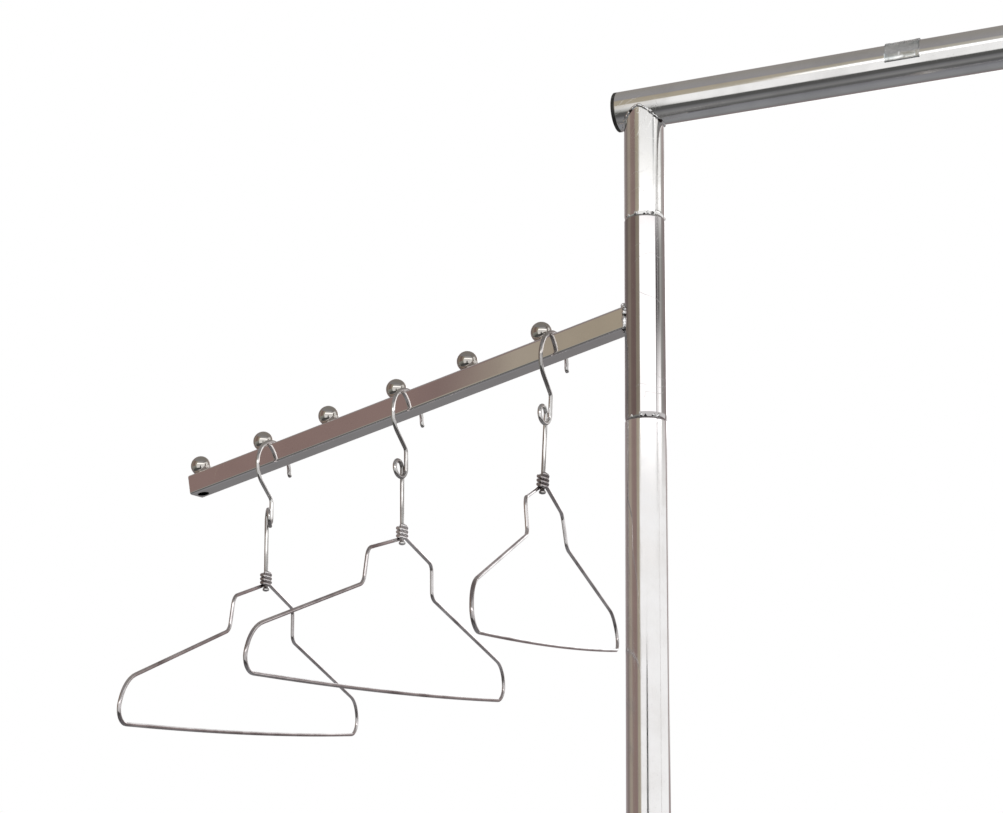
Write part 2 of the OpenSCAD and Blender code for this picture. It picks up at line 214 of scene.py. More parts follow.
def fillet(corners, steps=5, closed=True):
    """Flat outline through (x, y, radius) corners, each rounded with its own radius."""
    outline = []
    count = len(corners)
    for i, (x, y, r) in enumerate(corners):
        here = Vector((x, y))
        if r == 0 or (not closed and i in (0, count - 1)):
            outline.append((x, y))
            continue
        back = (Vector(corners[i - 1][:2]) - here).normalized()
        ahead = (Vector(corners[(i + 1) % count][:2]) - here).normalized()
        half = back.angle(ahead) / 2
        middle_way = (back + ahead).normalized()
        centre = here + middle_way * r / math.sin(half)
        start = here + back * r / math.tan(half) - centre
        turn = math.pi - 2 * half
        sign = 1 if start.x * middle_way.y - start.y * middle_way.x < 0 else -1
        for k in range(steps + 1):
            a = sign * turn * k / steps
            rotated = Vector(
                (
                    start.x * math.cos(a) - start.y * math.sin(a),
                    start.x * math.sin(a) + start.y * math.cos(a),
                )
            )
            outline.append(tuple(centre + rotated))
    return outline


def ring(r, h, count):
    """A circle of points about +Z. Its height may be a function of each point's angle and radius,
    for an end that is coped to another tube."""
    turns = [2 * math.pi * k / count for k in range(count)]
    return [(r * math.cos(a), r * math.sin(a), h(a, r) if callable(h) else h) for a in turns]


BRACE = 0.3 * MM
BRACE_FROM = 3 * MM


def braced(outline, closed):
    """The outline with a point close to each end of its long sides, so that they shade as true."""
    points = []
    count = len(outline)
    for i, here in enumerate(outline):
        points.append(here)
        there = outline[(i + 1) % count]
        if (i == count - 1 and not closed) or callable(here[1]) and callable(there[1]):
            continue
        ends = [(r, h(0, r) if callable(h) else h) for r, h in (here, there)]
        length = math.dist(*ends)
        if length < BRACE_FROM:
            continue
        step = [(b - a) * BRACE / length for a, b in zip(*ends)]
        if not callable(here[1]):
            points.append((here[0] + step[0], here[1] + step[1]))
        if not callable(there[1]):
            points.append((there[0] - step[0], there[1] - step[1]))
    return points


def revolved(outline, segments=96, closed=True):
    """An outline of (radius, height) turned about +Z."""
    return grid([ring(r, h, segments) for r, h in braced(outline, closed)], closed)


def swept(path, radii, sides=16, closed=False, outward=None):
    """A round wire along a path, with a radius at each point. Its ends are closed by a fan."""
    path = [Vector(p) for p in path]
    count = len(path)
    rows = []
    side = None
    for i in range(count):
        if closed:
            along = path[(i + 1) % count] - path[i - 1]
        else:
            along = path[min(i + 1, count - 1)] - path[max(i - 1, 0)]
        along.normalize()
        seed = outward[i] if outward else (side or Vector((0.31, 0.17, 0.93)))
        side = (seed - seed.dot(along) * along).normalized()
        across = along.cross(side)
        turns = [2 * math.pi * k / sides for k in range(sides)]
        ways = [math.cos(a) * side + math.sin(a) * across for a in turns]
        rows.append([path[i] + radii[i] * way for way in ways])
    if not closed:
        rows.insert(0, [path[0]] * sides)
        rows.append([path[-1]] * sides)
    return grid(rows, closed)


def rounded_end(length, radius, steps=5):
    """Distances from a wire's end and the radii there that round the end off."""
    turns = [math.pi / 2 * i / steps for i in range(1, steps + 1)]
    return [(length * (1 - math.cos(a)), radius * math.sin(a)) for a in turns]


ALONG_X = Matrix(((0, 0, 1, 0), (1, 0, 0, 0), (0, 1, 0, 0), (0, 0, 0, 1)))
ALONG_Y = Matrix(((0, 1, 0, 0), (0, 0, 1, 0), (1, 0, 0, 0), (0, 0, 0, 1)))


def at(x, y, z):
    return Matrix.Translation((x, y, z))


# ---------- materials ----------


class Nodes:
    """A short way to lay out the nodes of one material or world."""

    def __init__(self, tree):
        self.tree = tree
        tree.nodes.clear()

    def add(self, kind, settings=None, **inputs):
        """One node. Its inputs are given by name, or by number as i0, i1 and so on."""
        node = self.tree.nodes.new(kind)
        for key, value in (settings or {}).items():
            setattr(node, key, value)
        for key, value in inputs.items():
            name = int(key[1:]) if key[0] == "i" and key[1:].isdigit() else key.replace("_", " ")
            socket = node.inputs[name]
            if isinstance(value, bpy.types.NodeSocket):
                self.tree.links.new(value, socket)
            else:
                socket.default_value = value
        return node

    def math(self, operation, a, b=0.0, clamp=False):
        settings = {"operation": operation, "use_clamp": clamp}
        return self.add("ShaderNodeMath", settings, i0=a, i1=b).outputs[0]

    def ramp(self, value, low, high, to_low=0.0, to_high=1.0):
        """A smooth step of a value from low to high."""
        node = self.add(
            "ShaderNodeMapRange",
            {"interpolation_type": "SMOOTHSTEP"},
            Value=value,
            i1=low,
            i2=high,
            i3=to_low,
            i4=to_high,
        )
        return node.outputs[0]

    def colours(self, value, stops):
        """A colour ramp through (position, colour) stops."""
        node = self.add("ShaderNodeValToRGB", Fac=value)
        ramp = node.color_ramp
        while len(ramp.elements) > 1:
            ramp.elements.remove(ramp.elements[-1])
        ramp.elements[0].position, ramp.elements[0].color = stops[0][0], rgba(stops[0][1])
        for position, colour in stops[1:]:
            ramp.elements.new(position).color = rgba(colour)
        return node.outputs[0]

    def mix(self, fac, a, b):
        node = self.add("ShaderNodeMix", {"data_type": "RGBA"}, i0=fac)
        for value, socket in ((a, node.inputs[6]), (b, node.inputs[7])):
            if isinstance(value, bpy.types.NodeSocket):
                self.tree.links.new(value, socket)
            else:
                socket.default_value = rgba(value)
        return node.outputs[2]

    def noise(self, vector, scale, detail=2.0, roughness=0.5, distortion=0.0):
        node = self.add(
            "ShaderNodeTexNoise",
            Vector=vector,
            Scale=scale,
            Detail=detail,
            Roughness=roughness,
            Distortion=distortion,
        )
        return node.outputs[0]

    def stretched(self, vector, scale):
        node = self.add("ShaderNodeMapping", Vector=vector, Scale=scale)
        return node.outputs[0]

    def bump(self, height, strength, distance, normal=None):
        node = self.add("ShaderNodeBump", Height=height, Strength=strength, Distance=distance)
        if normal is not None:
            self.tree.links.new(normal, node.inputs["Normal"])
        return node.outputs[0]


def rgba(colour):
    """A linear colour from a grey, a triple, or a web colour such as "#8f8c87"."""
    if isinstance(colour, str):
        parts = [int(colour[i : i + 2], 16) / 255 for i in (1, 3, 5)]
        linear = [c / 12.92 if c <= 0.04045 else ((c + 0.055) / 1.055) ** 2.4 for c in parts]
        return (*linear, 1)
    if isinstance(colour, (int, float)):
        return (colour, colour, colour, 1)
    return (*colour[:3], 1)


def new_material(name):
    material = bpy.data.materials.new(name)
    material.use_nodes = True
    return material, Nodes(material.node_tree)


def surface(n, **inputs):
    """The one shader of a material, joined to its output."""
    shader = n.add("ShaderNodeBsdfPrincipled", **inputs)
    n.add("ShaderNodeOutputMaterial", Surface=shader.outputs[0])
    return shader


def chrome(
    name,
    bright,
    dull_and_painted_dark,
    smooth=0.06,
    rough=0.16,
    grain=(1, 1, 0.04),
    scratches=1.0,
    waves=0.25,
):
    """Chrome plate on drawn tube: polishing lines, duller clouds, hairline scratches and pits.
    Where the dull tint is dark, as on the hook and hanger wires, the clouds are painted dark
    reflections.
    """
    material, n = new_material(name)
    here = n.add("ShaderNodeTexCoord").outputs["Object"]
    clouds = n.noise(here, 28, detail=4, roughness=0.6)
    lines = n.noise(n.stretched(here, grain), 1400, detail=3)
    field = n.noise(here, 22, detail=1, distortion=1.6)
    patches = n.noise(here, 9, detail=2)
    hairline = n.ramp(n.math("ABSOLUTE", n.math("SUBTRACT", field, 0.5)), 0.0006, 0.0022, 1, 0)
    scratch = n.math("MULTIPLY", hairline, n.ramp(patches, 0.56, 0.66, 0, scratches))
    pits = n.ramp(n.noise(here, 900, detail=1), 0.74, 0.8)
    scratch_dull = n.math("MULTIPLY", scratch, 0.7)
    scratch_rough = n.math("MULTIPLY", scratch, 0.2)
    # Duller clouds; with a dark dull tint they are painted dark reflections
    dull_and_painted_dark_mask = n.math("ADD", n.ramp(clouds, 0.35, 0.75), scratch_dull, clamp=True)
    tint = n.mix(dull_and_painted_dark_mask, bright, dull_and_painted_dark)
    base = n.mix(n.math("MULTIPLY", pits, 0.35), tint, 0.28)
    roughness = n.math("ADD", n.ramp(clouds, 0.3, 0.8, smooth, rough), scratch_rough)
    waviness = n.bump(n.noise(here, 14, detail=1), waves, 0.0004)
    polish = n.bump(lines, 0.05, 0.00004, waviness)
    normal = n.bump(n.math("MULTIPLY", scratch, -1), 0.35, 0.00006, polish)
    surface(n, Base_Color=base, Metallic=1.0, Roughness=roughness, Normal=normal)
    return material


def weld_metal(name):
    """Plated weld bead: bright ripples with random dark patches, painted shade and dark reflections
    of its lumps.
    """
    material, n = new_material(name)
    here = n.add("ShaderNodeTexCoord").outputs["Object"]
    lumps = n.noise(here, 520, detail=3, roughness=0.6)
    # Random dark patches: painted shade and dark reflections on the bead
    painted_dark_patches = n.ramp(n.noise(here, 300, detail=2), 0.5, 0.62)
    base = n.mix(painted_dark_patches, 0.95, "#3b3431")
    roughness = n.ramp(lumps, 0.3, 0.8, 0.1, 0.34)
    normal = n.bump(lumps, 0.6, 0.0004)
    surface(n, Base_Color=base, Metallic=1.0, Roughness=roughness, Normal=normal)
    return material


def zinc(name):
    """Pale zinc on the hidden plugs and the bolts, with a little white bloom and spangle."""
    material, n = new_material(name)
    here = n.add("ShaderNodeTexCoord").outputs["Object"]
    spangle = n.add("ShaderNodeTexVoronoi", Vector=here, Scale=260).outputs["Color"]
    bloom = n.ramp(n.noise(here, 120, detail=4), 0.5, 0.75)
    tinted = n.add(
        "ShaderNodeMix",
        {"data_type": "RGBA", "blend_type": "SOFT_LIGHT"},
        i0=0.25,
        i6=rgba("#b9b8b2"),
        i7=spangle,
    )
    base = n.mix(n.math("MULTIPLY", bloom, 0.5), tinted.outputs[2], "#d9d8d2")
    roughness = n.ramp(n.noise(here, 60, detail=3), 0.3, 0.75, 0.3, 0.52)
    normal = n.bump(n.noise(here, 800, detail=2), 0.2, 0.0002)
    surface(n, Base_Color=base, Metallic=1.0, Roughness=roughness, Normal=normal)
    return material


def black_plastic(name):
    """Moulded black polythene: fine spark-eroded grain, greyer scuffs and a little dust."""
    material, n = new_material(name)
    here = n.add("ShaderNodeTexCoord").outputs["Object"]
    grain = n.noise(here, 1600, detail=2)
    marks = n.noise(n.stretched(here, (1, 0.3, 1)), 150, detail=4, distortion=1.0)
    scuffs = n.ramp(marks, 0.56, 0.7)
    base = n.mix(scuffs, "#1d1c1a", "#3a3936")
    roughness = n.ramp(n.noise(here, 70, detail=3), 0.3, 0.75, 0.34, 0.55)
    normal = n.bump(grain, 0.3, 0.00012)
    surface(n, Base_Color=base, Roughness=roughness, Normal=normal)
    return material


def clear_plastic(name):
    """Clear clip plastic, slightly milky, with flow marks and fine scuffs."""
    material, n = new_material(name)
    here = n.add("ShaderNodeTexCoord").outputs["Object"]
    flow = n.noise(n.stretched(here, (0.4, 1, 1)), 160, detail=3, distortion=1.2)
    base = n.mix(n.ramp(flow, 0.45, 0.7), "#f6f7f7", "#dfe3e4")
    roughness = n.ramp(n.noise(here, 240, detail=3), 0.35, 0.75, 0.04, 0.2)
    normal = n.bump(flow, 0.35, 0.0004)
    shader = surface(n, Base_Color=base, Roughness=roughness, Normal=normal)
    shader.inputs["Transmission Weight"].default_value = 0.92
    shader.inputs["IOR"].default_value = 1.49
    return material


BRIGHT_CHROME = (0.95, 0.94, 0.93)
tube_finish = chrome("tube_chrome", BRIGHT_CHROME, (0.84, 0.83, 0.81))
post_finish = chrome(
    "post_chrome",
    (0.97, 0.96, 0.96),
    (0.88, 0.86, 0.85),
    smooth=0.07,
    rough=0.18,
    scratches=1.4,
)
# The sleeve's tint, far darker than the posts' chrome, is a painted darker reflection
sleeve_finish = chrome(
    "sleeve_chrome",
    (0.58, 0.56, 0.56),
    (0.51, 0.49, 0.49),
    smooth=0.04,
    rough=0.1,
)
rail_finish = chrome("rail_chrome", BRIGHT_CHROME, (0.84, 0.83, 0.82), grain=(0.04, 1, 1))
arm_finish = chrome(
    "arm_chrome",
    (0.96, 0.92, 0.91),
    (0.9, 0.86, 0.85),
    smooth=0.035,
    rough=0.08,
    grain=(0.05, 1, 1),
    waves=0.04,
)
# The balls' dark warm tint is a painted reflection: the dark khaki rim they show
ball_finish = chrome(
    "ball_chrome",
    (0.68, 0.65, 0.61),
    (0.58, 0.55, 0.51),
    smooth=0.03,
    rough=0.08,
    grain=(1, 1, 1),
    waves=0.1,
)
# The hook's very dark dull tint paints dark reflections on the wire, in random clouds
hook_finish = chrome(
    "hook_chrome",
    (0.86, 0.85, 0.84),
    (0.34, 0.32, 0.31),
    smooth=0.04,
    rough=0.12,
    grain=(1, 1, 0.2),
)
# The frame wire's very dark dull tint paints dark reflections on it, in random clouds
wire_finish = chrome(
    "frame_wire_chrome",
    (0.86, 0.83, 0.83),
    (0.36, 0.32, 0.32),
    smooth=0.05,
    rough=0.14,
    grain=(0.4, 0.4, 1),
)
weld_finish = weld_metal("plated_weld")
zinc_finish = zinc("zinc_plate")
black_finish = black_plastic("black_polythene")
clear_finish = clear_plastic("clear_clip")

# ---------- uprights ----------


def swage(z_low):
    """The rounded lower end of an upper tube, from its plug out to its full radius."""
    steps = 10
    turns = [math.pi / 2 * i / steps for i in range(steps + 1)]
    inner = bore_r + SWAGE_GAP
    rise = tube_r - inner
    return [(inner + rise * math.sin(a), z_low + SWAGE_LEN * (1 - math.cos(a))) for a in turns]


def open_end(z_high):
    """The eased upper end of a tube, from outside to inside."""
    top = [(tube_r, z_high, TUBE_EDGE), (bore_r, z_high, TUBE_EDGE)]
    return fillet([(tube_r, 0, 0), *top, (bore_r, 0, 0)])[1:-1]


def upright(z_low, z_high):
    return revolved([(bore_r, z_low)] + swage(z_low) + open_end(z_high))


WELD_SOFTNESS = 0.07


def tube_rise(across):
    """Height of a tube's surface above its axis, at this distance across the tube."""
    return math.sqrt(max(tube_r**2 - across**2, 0))


def under_rail(angle, radius):
    """Height of the stub's top under the rail, eased at the sides where the weld fills it."""
    soft = tube_r * math.sqrt(math.cos(angle) ** 2 * (1 - WELD_SOFTNESS) + WELD_SOFTNESS)
    return rail_z - max(soft, tube_rise(radius * math.sin(angle)))


def rail_stub(z_low):
    return revolved([(bore_r, z_low)] + swage(z_low) + [(tube_r, under_rail), (bore_r, under_rail)])


def over_foot(angle, radius):
    return foot_z + tube_rise(radius * math.cos(angle))


def base_stub(z_high):
    return revolved([(bore_r, over_foot), (tube_r, over_foot)] + open_end(z_high))


def saddle_bead(x, z, up, along_x, seed):
    """The weld bead round a stub where it meets a tube of the same size."""
    steps = 150
    path, radii, outward = [], [], []
    for i in range(steps):
        a = 2 * math.pi * i / steps
        across, along = (math.sin(a), math.cos(a)) if along_x else (math.cos(a), math.sin(a))
        fall = math.sqrt(along**2 * (1 - WELD_SOFTNESS) + WELD_SOFTNESS)
        stub_normal = Vector((math.cos(a), math.sin(a), 0))
        tube_normal = Vector((0, across, up * fall) if along_x else (across, 0, up * fall))
        way = (stub_normal + tube_normal.normalized()).normalized()
        spot = Vector((tube_r * math.cos(a), tube_r * math.sin(a), up * tube_r * fall))
        lump = noise.noise(spot * 420 + Vector((seed, 0, 0)))
        ripple = 0.12 * math.sin(i * 1.9)
        radii.append((1.15 + 0.45 * lump + ripple) * MM)
        path.append(Vector((x, 0, z)) + spot + way * (0.1 + 0.15 * lump) * MM)
        outward.append(way)
    return swept(path, radii, sides=10, closed=True, outward=outward)


def tack(spot, normal, size, seed):
    """A small irregular blob of weld that holds a plug in the groove between two tubes."""
    rows = []
    rings, sides = 10, 14
    for i in range(rings + 1):
        b = math.pi * i / rings
        row = []
        for k in range(sides):
            a = 2 * math.pi * k / sides
            point = Vector((math.sin(b) * math.cos(a), math.sin(b) * math.sin(a), math.cos(b)))
            lump = noise.noise(point * 1.7 + Vector((seed * 3.1, 0, 0)))
            swell = 1 + 0.35 * lump if 0 < i < rings else 1
            row.append(Vector((point.x * size[0], point.y * size[1], point.z * size[2])) * swell)
        rows.append(row)
    up = Vector((0, 0, 1))
    facing = Matrix((up.cross(normal), up, normal)).transposed().to_4x4()
    return moved(grid(rows, False), Matrix.Translation(spot) @ facing)


def groove_tacks(x, z, angles, seed):
    """Tacks round one groove, at the given angles from +X towards +Y."""
    parts = []
    for i, degrees in enumerate(angles):
        a = math.radians(degrees)
        normal = Vector((math.cos(a), math.sin(a), 0))
        spot = Vector((x, 0, z + 2.2 * MM)) + normal * (tube_r - 1.4 * MM)
        size = ((1.6 + 0.5 * ((i * 7 + seed) % 3)) * MM, 1.9 * MM, 1.75 * MM)
        parts.append(tack(spot, normal, size, seed + i))
    return joined(parts)


TACK_ANGLES = (-98, -62, -48, 20, 95, 160, 232)
STUB_TACK_TURN = {"left": 0, "right": 40}
SLEEVE_TACK_TURN = 13
STUB_TACK_SEED, SLEEVE_TACK_SEED = 11, 21
RAIL_BEAD_SEED = {"left": 3, "right": 4}
FOOT_BEAD_SEED = {"left": 5, "right": 6}

for side, x in (("left", left_x), ("right", right_x)):
    stub = f"rail_stub_{side}"
    z_low = span(stub, 2)[0]
    tube = moved(rail_stub(z_low), at(x, 0, 0))
    build(stub + "_tube", *tube, tube_finish, "stand", [stub], "tube_chrome")
    bead = saddle_bead(x, rail_z, -1, True, RAIL_BEAD_SEED[side])
    build(f"rail_weld_{side}", *bead, weld_finish, "stand", slot="tube_chrome")
    angles = [a + STUB_TACK_TURN[side] for a in TACK_ANGLES]
    tacks = groove_tacks(x, z_low, angles, STUB_TACK_SEED)
    build(f"stub_tacks_{side}", *tacks, weld_finish, "stand", slot="tube_chrome")

sleeves = (
    ("arm_sleeve", left_x, sleeve_finish, "side_arm", "arm_chrome"),
    ("spacer_right", right_x, tube_finish, "stand", "tube_chrome"),
    ("post_left", left_x, post_finish, "stand", "tube_chrome"),
    ("post_right", right_x, post_finish, "stand", "tube_chrome"),
)
for node, x, finish, body, slot in sleeves:
    low, high = span(node, 2)
    build(node + "_tube", *moved(upright(low, high), at(x, 0, 0)), finish, body, [node], slot)
    angles = [a + SLEEVE_TACK_TURN for a in TACK_ANGLES]
    tacks = groove_tacks(x, low, angles, SLEEVE_TACK_SEED)
    build(node + "_tacks", *tacks, weld_finish, body, slot=slot)

# ---------- rail ----------


def straight_tube(outer, bore, length):
    corners = [(bore, 0), (outer, 0), (outer, length), (bore, length)]
    return revolved(fillet([(r, h, TUBE_EDGE) for r, h in corners]))


def end_cap():
    """A push-in cap: rounded flange, a shallow ring round its face, and a plug."""
    flange, plug = CAP_FLANGE, CAP_PLUG
    corners = [
        (0, flange, 0),
        (tube_r - 5 * MM, flange, 2 * MM),
        (tube_r - 4.2 * MM, flange - CAP_DISH, 0.3 * MM),
        (tube_r - 3.4 * MM, flange - 0.1 * MM, 0.3 * MM),
        (tube_r, flange - 0.1 * MM, 0.5 * MM),
        (tube_r, 0, 0.3 * MM),
        (bore_r, 0, 0),
        (bore_r, -plug, 0.8 * MM),
        (bore_r - 2 * MM, -plug, 0.4 * MM),
        (bore_r - 2 * MM, -1 * MM, 0.4 * MM),
        (0, -1 * MM, 0),
    ]
    return revolved(fillet(corners, closed=False), closed=False)


rail_low, rail_high = span("rail_tube", 0)
rail = moved(straight_tube(tube_r, bore_r, rail_high - rail_low), at(rail_low, 0, rail_z) @ ALONG_X)
build("rail_tube_round", *rail, rail_finish, "stand", ["rail_tube"], "tube_chrome")
FLIP = Matrix.Rotation(math.pi, 4, "Y")
for node, x, turn in (
    ("rail_end_cap_left", rail_low, ALONG_X @ FLIP),
    ("rail_end_cap_right", rail_high, ALONG_X),
):
    cap = moved(end_cap(), at(x, 0, rail_z) @ turn)
    build(node + "_moulded", *cap, black_finish, "stand", [node], "black_plastic")


def clip_shell():
    """The clip that snaps over the rail: rolled lips, a raised rib at each end and one between."""
    wrap = math.radians(206)
    steps = 72
    length = span("rail_clip", 0)[1] - span("rail_clip", 0)[0]
    inner, thick, rib = tube_r + 0.02 * MM, 1.0 * MM, 0.18 * MM
    outline = fillet(
        [
            (0, inner, 0.2 * MM),
            (length, inner, 0.2 * MM),
            (length, inner + thick + rib, 0.4 * MM),
            (length - 3 * MM, inner + thick + rib, 0.3 * MM),
            (length - 3.6 * MM, inner + thick, 0.3 * MM),
            (length / 2 + 2 * MM, inner + thick, 0.3 * MM),
            (length / 2 + 1.5 * MM, inner + thick + rib, 0.3 * MM),
            (length / 2 - 1.5 * MM, inner + thick + rib, 0.3 * MM),
            (length / 2 - 2 * MM, inner + thick, 0.3 * MM),
            (3.6 * MM, inner + thick, 0.3 * MM),
            (3 * MM, inner + thick + rib, 0.3 * MM),
            (0, inner + thick + rib, 0.4 * MM),
        ],
        steps=3,
    )
    rows = []
    mid = inner + thick / 2
    for i in range(steps + 1):
        a = math.pi / 2 - wrap / 2 + wrap * i / steps
        from_end = min(i, steps - i) / 3
        squeeze = math.sqrt(max(1 - (1 - min(from_end, 1)) ** 2, 0.0))
        row = []
        for along, radius in outline:
            r = mid + (radius - mid) * squeeze
            row.append((along, r * math.cos(a), r * math.sin(a)))
        rows.append(row)
    return grid(rows, False)


clip_x = span("rail_clip", 0)[0]
clip = moved(clip_shell(), at(clip_x, 0, rail_z))
build("rail_clip_moulded", *clip, clear_finish, "stand", ["rail_clip"], "clear_plastic")

# ---------- side arm ----------


def square_loop(half, corner, steps=6):
    """A square of (y, z) points with rounded corners."""
    loop = []
    for quarter in range(4):
        mid = math.pi / 4 + math.pi / 2 * quarter
        centre = (half - corner) * math.sqrt(2)
        for i in range(steps + 1):
            a = math.pi / 2 * (quarter + i / steps)
            y = centre * math.cos(mid) + corner * math.cos(a)
            z = centre * math.sin(mid) + corner * math.sin(a)
            loop.append((y, z))
        after = math.pi / 2 * (quarter + 1)
        y, z = loop[-1]
        across, up = -math.sin(after), math.cos(after)
        loop.append((y + across * BRACE, z + up * BRACE))
        rest = 2 * (half - corner) - BRACE
        loop.append((y + across * rest, z + up * rest))
    return loop


def reach_to_sleeve(y, z):
    """Distance along the arm at which the point (y, z) of its section meets the sleeve."""
    along = on_arm.to_3x3() @ Vector((1, 0, 0))
    off = on_arm.to_3x3() @ Vector((0, y, z))
    a = along.x**2 + along.y**2
    b = off.x * along.x + off.y * along.y
    c = off.x**2 + off.y**2 - tube_r**2
    return (-b + math.sqrt(b * b - a * c)) / a


def arm_tube():
    outer = square_loop(ARM_WIDTH / 2, ARM_CORNER)
    inner = square_loop(ARM_WIDTH / 2 - wall, 0.4 * MM)
    rows = [
        [(reach_to_sleeve(y, z), y, z) for y, z in inner],
        [(reach_to_sleeve(y, z), y, z) for y, z in outer],
    ]
    steps = 6
    edge = 0.9 * MM
    near_end = ARM_REACH - edge - BRACE
    rows.append([(near_end, y, z) for y, z in outer])
    for i in range(steps + 1):
        a = math.pi / 2 * i / steps
        inset = edge * (1 - math.cos(a))
        loop = square_loop(ARM_WIDTH / 2 - inset, max(ARM_CORNER - inset, 0.2 * MM))
        rows.append([(ARM_REACH - edge * (1 - math.sin(a)), y, z) for y, z in loop])
    rows.append([(ARM_REACH, y, z) for y, z in inner])
    return moved(grid(rows, True), on_arm)


def cut(piece, cutter_part):
    """Cuts a closed shape out of a piece, and leaves the result on the piece."""
    cutter = mesh_object("cutter", *cutter_part)
    modifier = piece.modifiers.new("cut", "BOOLEAN")
    modifier.object = cutter
    modifier.solver = "EXACT"
    bpy.context.view_layer.update()
    evaluated = piece.evaluated_get(bpy.context.evaluated_depsgraph_get())
    result = bpy.data.meshes.new_from_object(evaluated)
    piece.modifiers.clear()
    piece.data = result
    bpy.data.objects.remove(cutter)
    result.set_sharp_from_angle(angle=SHARP_ANGLE)


arm = build("arm_square_tube", *arm_tube(), arm_finish, "side_arm", ["arm_bar"], "arm_chrome")
drill = revolved([(0, -ARM_WIDTH), (VENT_R, -ARM_WIDTH), (VENT_R, 0), (0, 0)], 48, closed=False)
cut(arm, moved(drill, on_arm @ at(ARM_REACH - VENT_BACK, 0, 0)))


def end_plate():
    """The plate in the arm's end, a little crowned where its weld was ground flush."""
    half = ARM_WIDTH / 2 - wall - 0.05 * MM
    rows = []
    # Depth below the arm's end, and inset from the tube's inside in millimetres
    profile = (
        (wall, 0.3),
        (wall - 0.3 * MM, 0.02),
        (0.25 * MM, 0.0),
        (0.05 * MM, 0.2),
        (0, 0.7),
    )
    for depth, inset in profile:
        loop = square_loop(half - inset * MM, 0.5 * MM)
        rows.append([(ARM_REACH - depth, y, z) for y, z in loop])
    crown = [(ARM_REACH, 0, 0)] * len(rows[0])
    back = [(ARM_REACH - wall, 0, 0)] * len(rows[0])
    return moved(grid([back] + rows + [crown], False), on_arm)


build("arm_end_plate_ground", *end_plate(), arm_finish, "side_arm", ["arm_end_plate"], "arm_chrome")


def arm_weld():
    """The lumpy fillet weld round the arm's root."""
    loop = square_loop(ARM_WIDTH / 2, ARM_CORNER + 1 * MM, 10)
    dense = []
    for i, (y, z) in enumerate(loop):
        y2, z2 = loop[(i + 1) % len(loop)]
        parts = max(1, round(math.hypot(y2 - y, z2 - z) / (0.7 * MM)))
        dense += [(y + (y2 - y) * k / parts, z + (z2 - z) * k / parts) for k in range(parts)]
    path, radii, outward = [], [], []
    for i, (y, z) in enumerate(dense):
        spot = on_arm @ Vector((reach_to_sleeve(y, z), y, z))
        out = (on_arm.to_3x3() @ Vector((0, y, z))).normalized()
        radial = Vector((spot.x - left_x, spot.y, 0)).normalized()
        lump = noise.noise(spot * 330)
        fine = noise.noise(spot * 900)
        radii.append((1.75 + 0.9 * lump + 0.35 * fine) * MM)
        path.append(spot + (out + radial) * (0.35 + 0.3 * fine) * MM)
        outward.append((out + radial).normalized())
    return swept(path, radii, sides=12, closed=True, outward=outward)


build("arm_root_weld", *arm_weld(), weld_finish, "side_arm", slot="arm_chrome")


def ball(seed):
    """A stop ball, with the small uneven flare of its weld at the foot."""
    neck_r, foot_r = 3.7 * MM, 4.3 * MM
    lowest = math.asin(neck_r / BALL_R)
    steps = 30
    outline = []
    for i in range(steps + 1):
        a = (math.pi - lowest) * i / steps
        outline.append((BALL_R * math.sin(a), BALL_SEAT + BALL_R * math.cos(a)))
    outline += [(neck_r + 0.05 * MM, 0.32 * MM), (foot_r - 0.25 * MM, 0.14 * MM)]
    outline += [(foot_r, 0), (0, 0)]
    points, faces = revolved(outline, 64, closed=False)
    uneven = []
    for x, y, z in points:
        low = max(0.0, 1 - z / (0.5 * MM))
        swell = 1 + 0.16 * low * noise.noise(Vector((x, y, seed)) * 700)
        uneven.append((x * swell, y * swell, z))
    return uneven, faces


for k in range(BALL_COUNT):
    along = BALL_FIRST + (BALL_COUNT - 1 - k) * BALL_PITCH
    shape = moved(ball(k + 1), on_arm @ at(along, 0, ARM_WIDTH / 2))
    node = f"stop_ball_{k + 1}"
    build(node + "_round", *shape, ball_finish, "side_arm", [node], "ball_chrome")

# ---------- hangers ----------


def arc_points(centre, r, a, b, steps):
    turns = [a + (b - a) * i / steps for i in range(steps + 1)]
    return [(centre[0] + r * math.cos(t), centre[1] + r * math.sin(t)) for t in turns]


def on_hook(k):
    centre = Vector(joints[f"hook_{k + 1}_swing"]["pos_m"])
    turn = Matrix.Rotation(math.pi - ARM_TURN, 4, "Z")
    return Matrix.Translation(centre) @ turn @ Matrix.Rotation(STEM_LEAN[k], 4, "Y")


def stem_step(k):
    return Vector((LOOP_STEP * math.cos(LOOP_TURN[k]), LOOP_STEP * math.sin(LOOP_TURN[k]), 0))


def stem_at(k):
    return stem_step(k) + Vector((0, STEM_ASIDE, 0))


